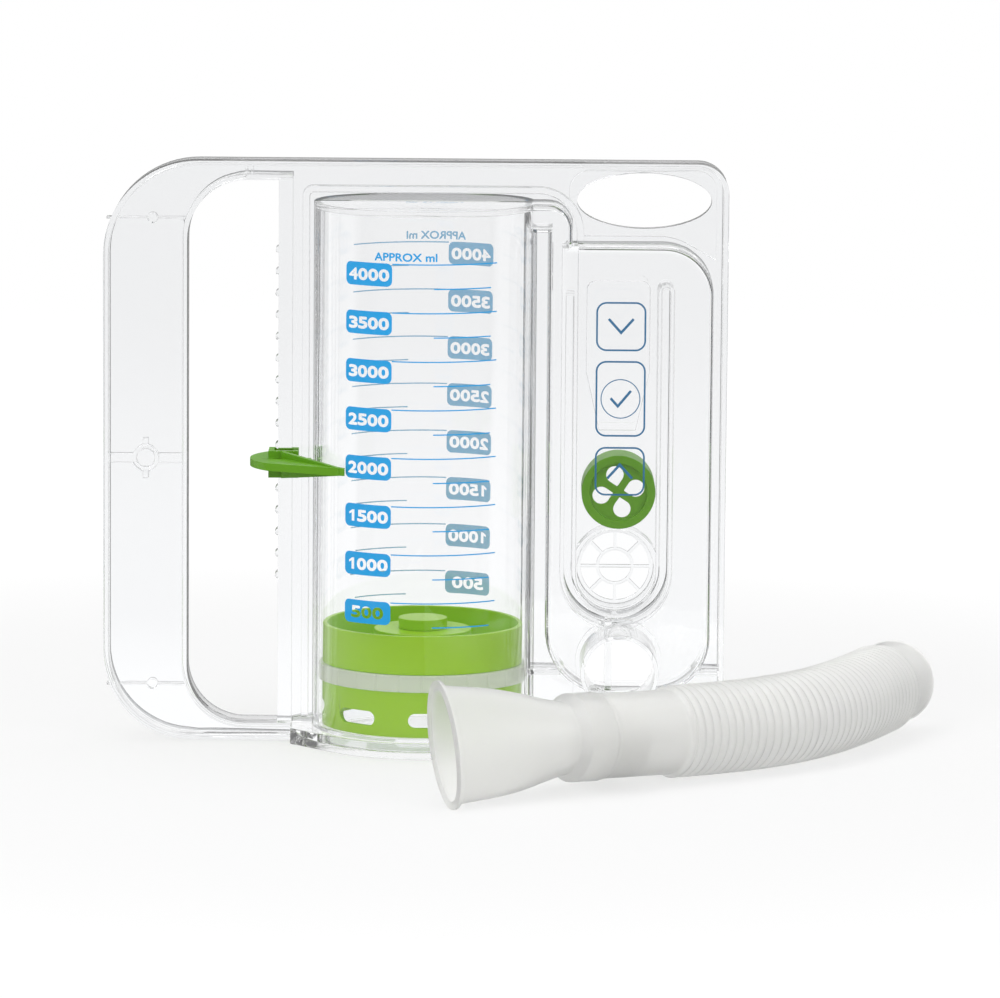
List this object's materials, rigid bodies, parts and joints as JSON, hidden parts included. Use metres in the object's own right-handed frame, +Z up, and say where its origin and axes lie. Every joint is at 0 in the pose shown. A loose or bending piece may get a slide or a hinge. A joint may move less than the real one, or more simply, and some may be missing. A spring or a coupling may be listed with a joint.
{
  "type": "incentive spirometer",
  "caption": "Clear plastic breathing exerciser with a grip, a green piston in a graduated tube, a flow float, a sliding pointer, and a detached hose with mouthpiece.",
  "frame": {"origin": "axis of the measuring tube at the underside of the base cap, the plane the object stands on", "axes": "+X from the tube towards the air duct and hose port, +Y away from the reader of the scale, +Z up along the tube axis"},
  "size_m": [0.2923, 0.1786, 0.203],
  "materials": {
    "clear_shell": "clear moulded polystyrene",
    "clear_base": "clear moulded polystyrene",
    "lime_plastic": "opaque lime green moulding",
    "natural_seal": "unpigmented flexible plastic, translucent",
    "milky_plastic": "natural polyethylene, milky"
  },
  "bodies": {
    "housing": {"front_shell": "clear_shell", "rear_shell": "clear_shell", "base_cap": "clear_base", "inlet_grille": "clear_base", "hose": "milky_plastic"},
    "piston": {"piston_cup": "lime_plastic", "piston_seal": "natural_seal", "piston_skirt": "lime_plastic", "valve_button": "lime_plastic"},
    "float": {"flow_float": "lime_plastic"},
    "pointer": {"pointer": "lime_plastic"},
    "mouthpiece": {"mouthpiece": "milky_plastic"}
  },
  "joints": [
    {"name": "piston_slide", "type": "slide", "parent": "housing", "child": "piston", "axis": [0, 0, 1], "range_m": [0, 0.14]},
    {"name": "float_slide", "type": "slide", "parent": "housing", "child": "float", "axis": [0, 0, 1], "range_m": [0, 0.062]},
    {"name": "pointer_slide", "type": "slide", "parent": "housing", "child": "pointer", "axis": [0, 0, 1], "range_m": [-0.08, 0.085]},
    {"name": "mouthpiece_turn", "type": "hinge", "parent": "housing", "child": "mouthpiece", "pos_m": [0.0586, -0.0932, 0.018], "axis": [-0.827, -0.5604, 0.0451], "continuous": true}
  ]
}
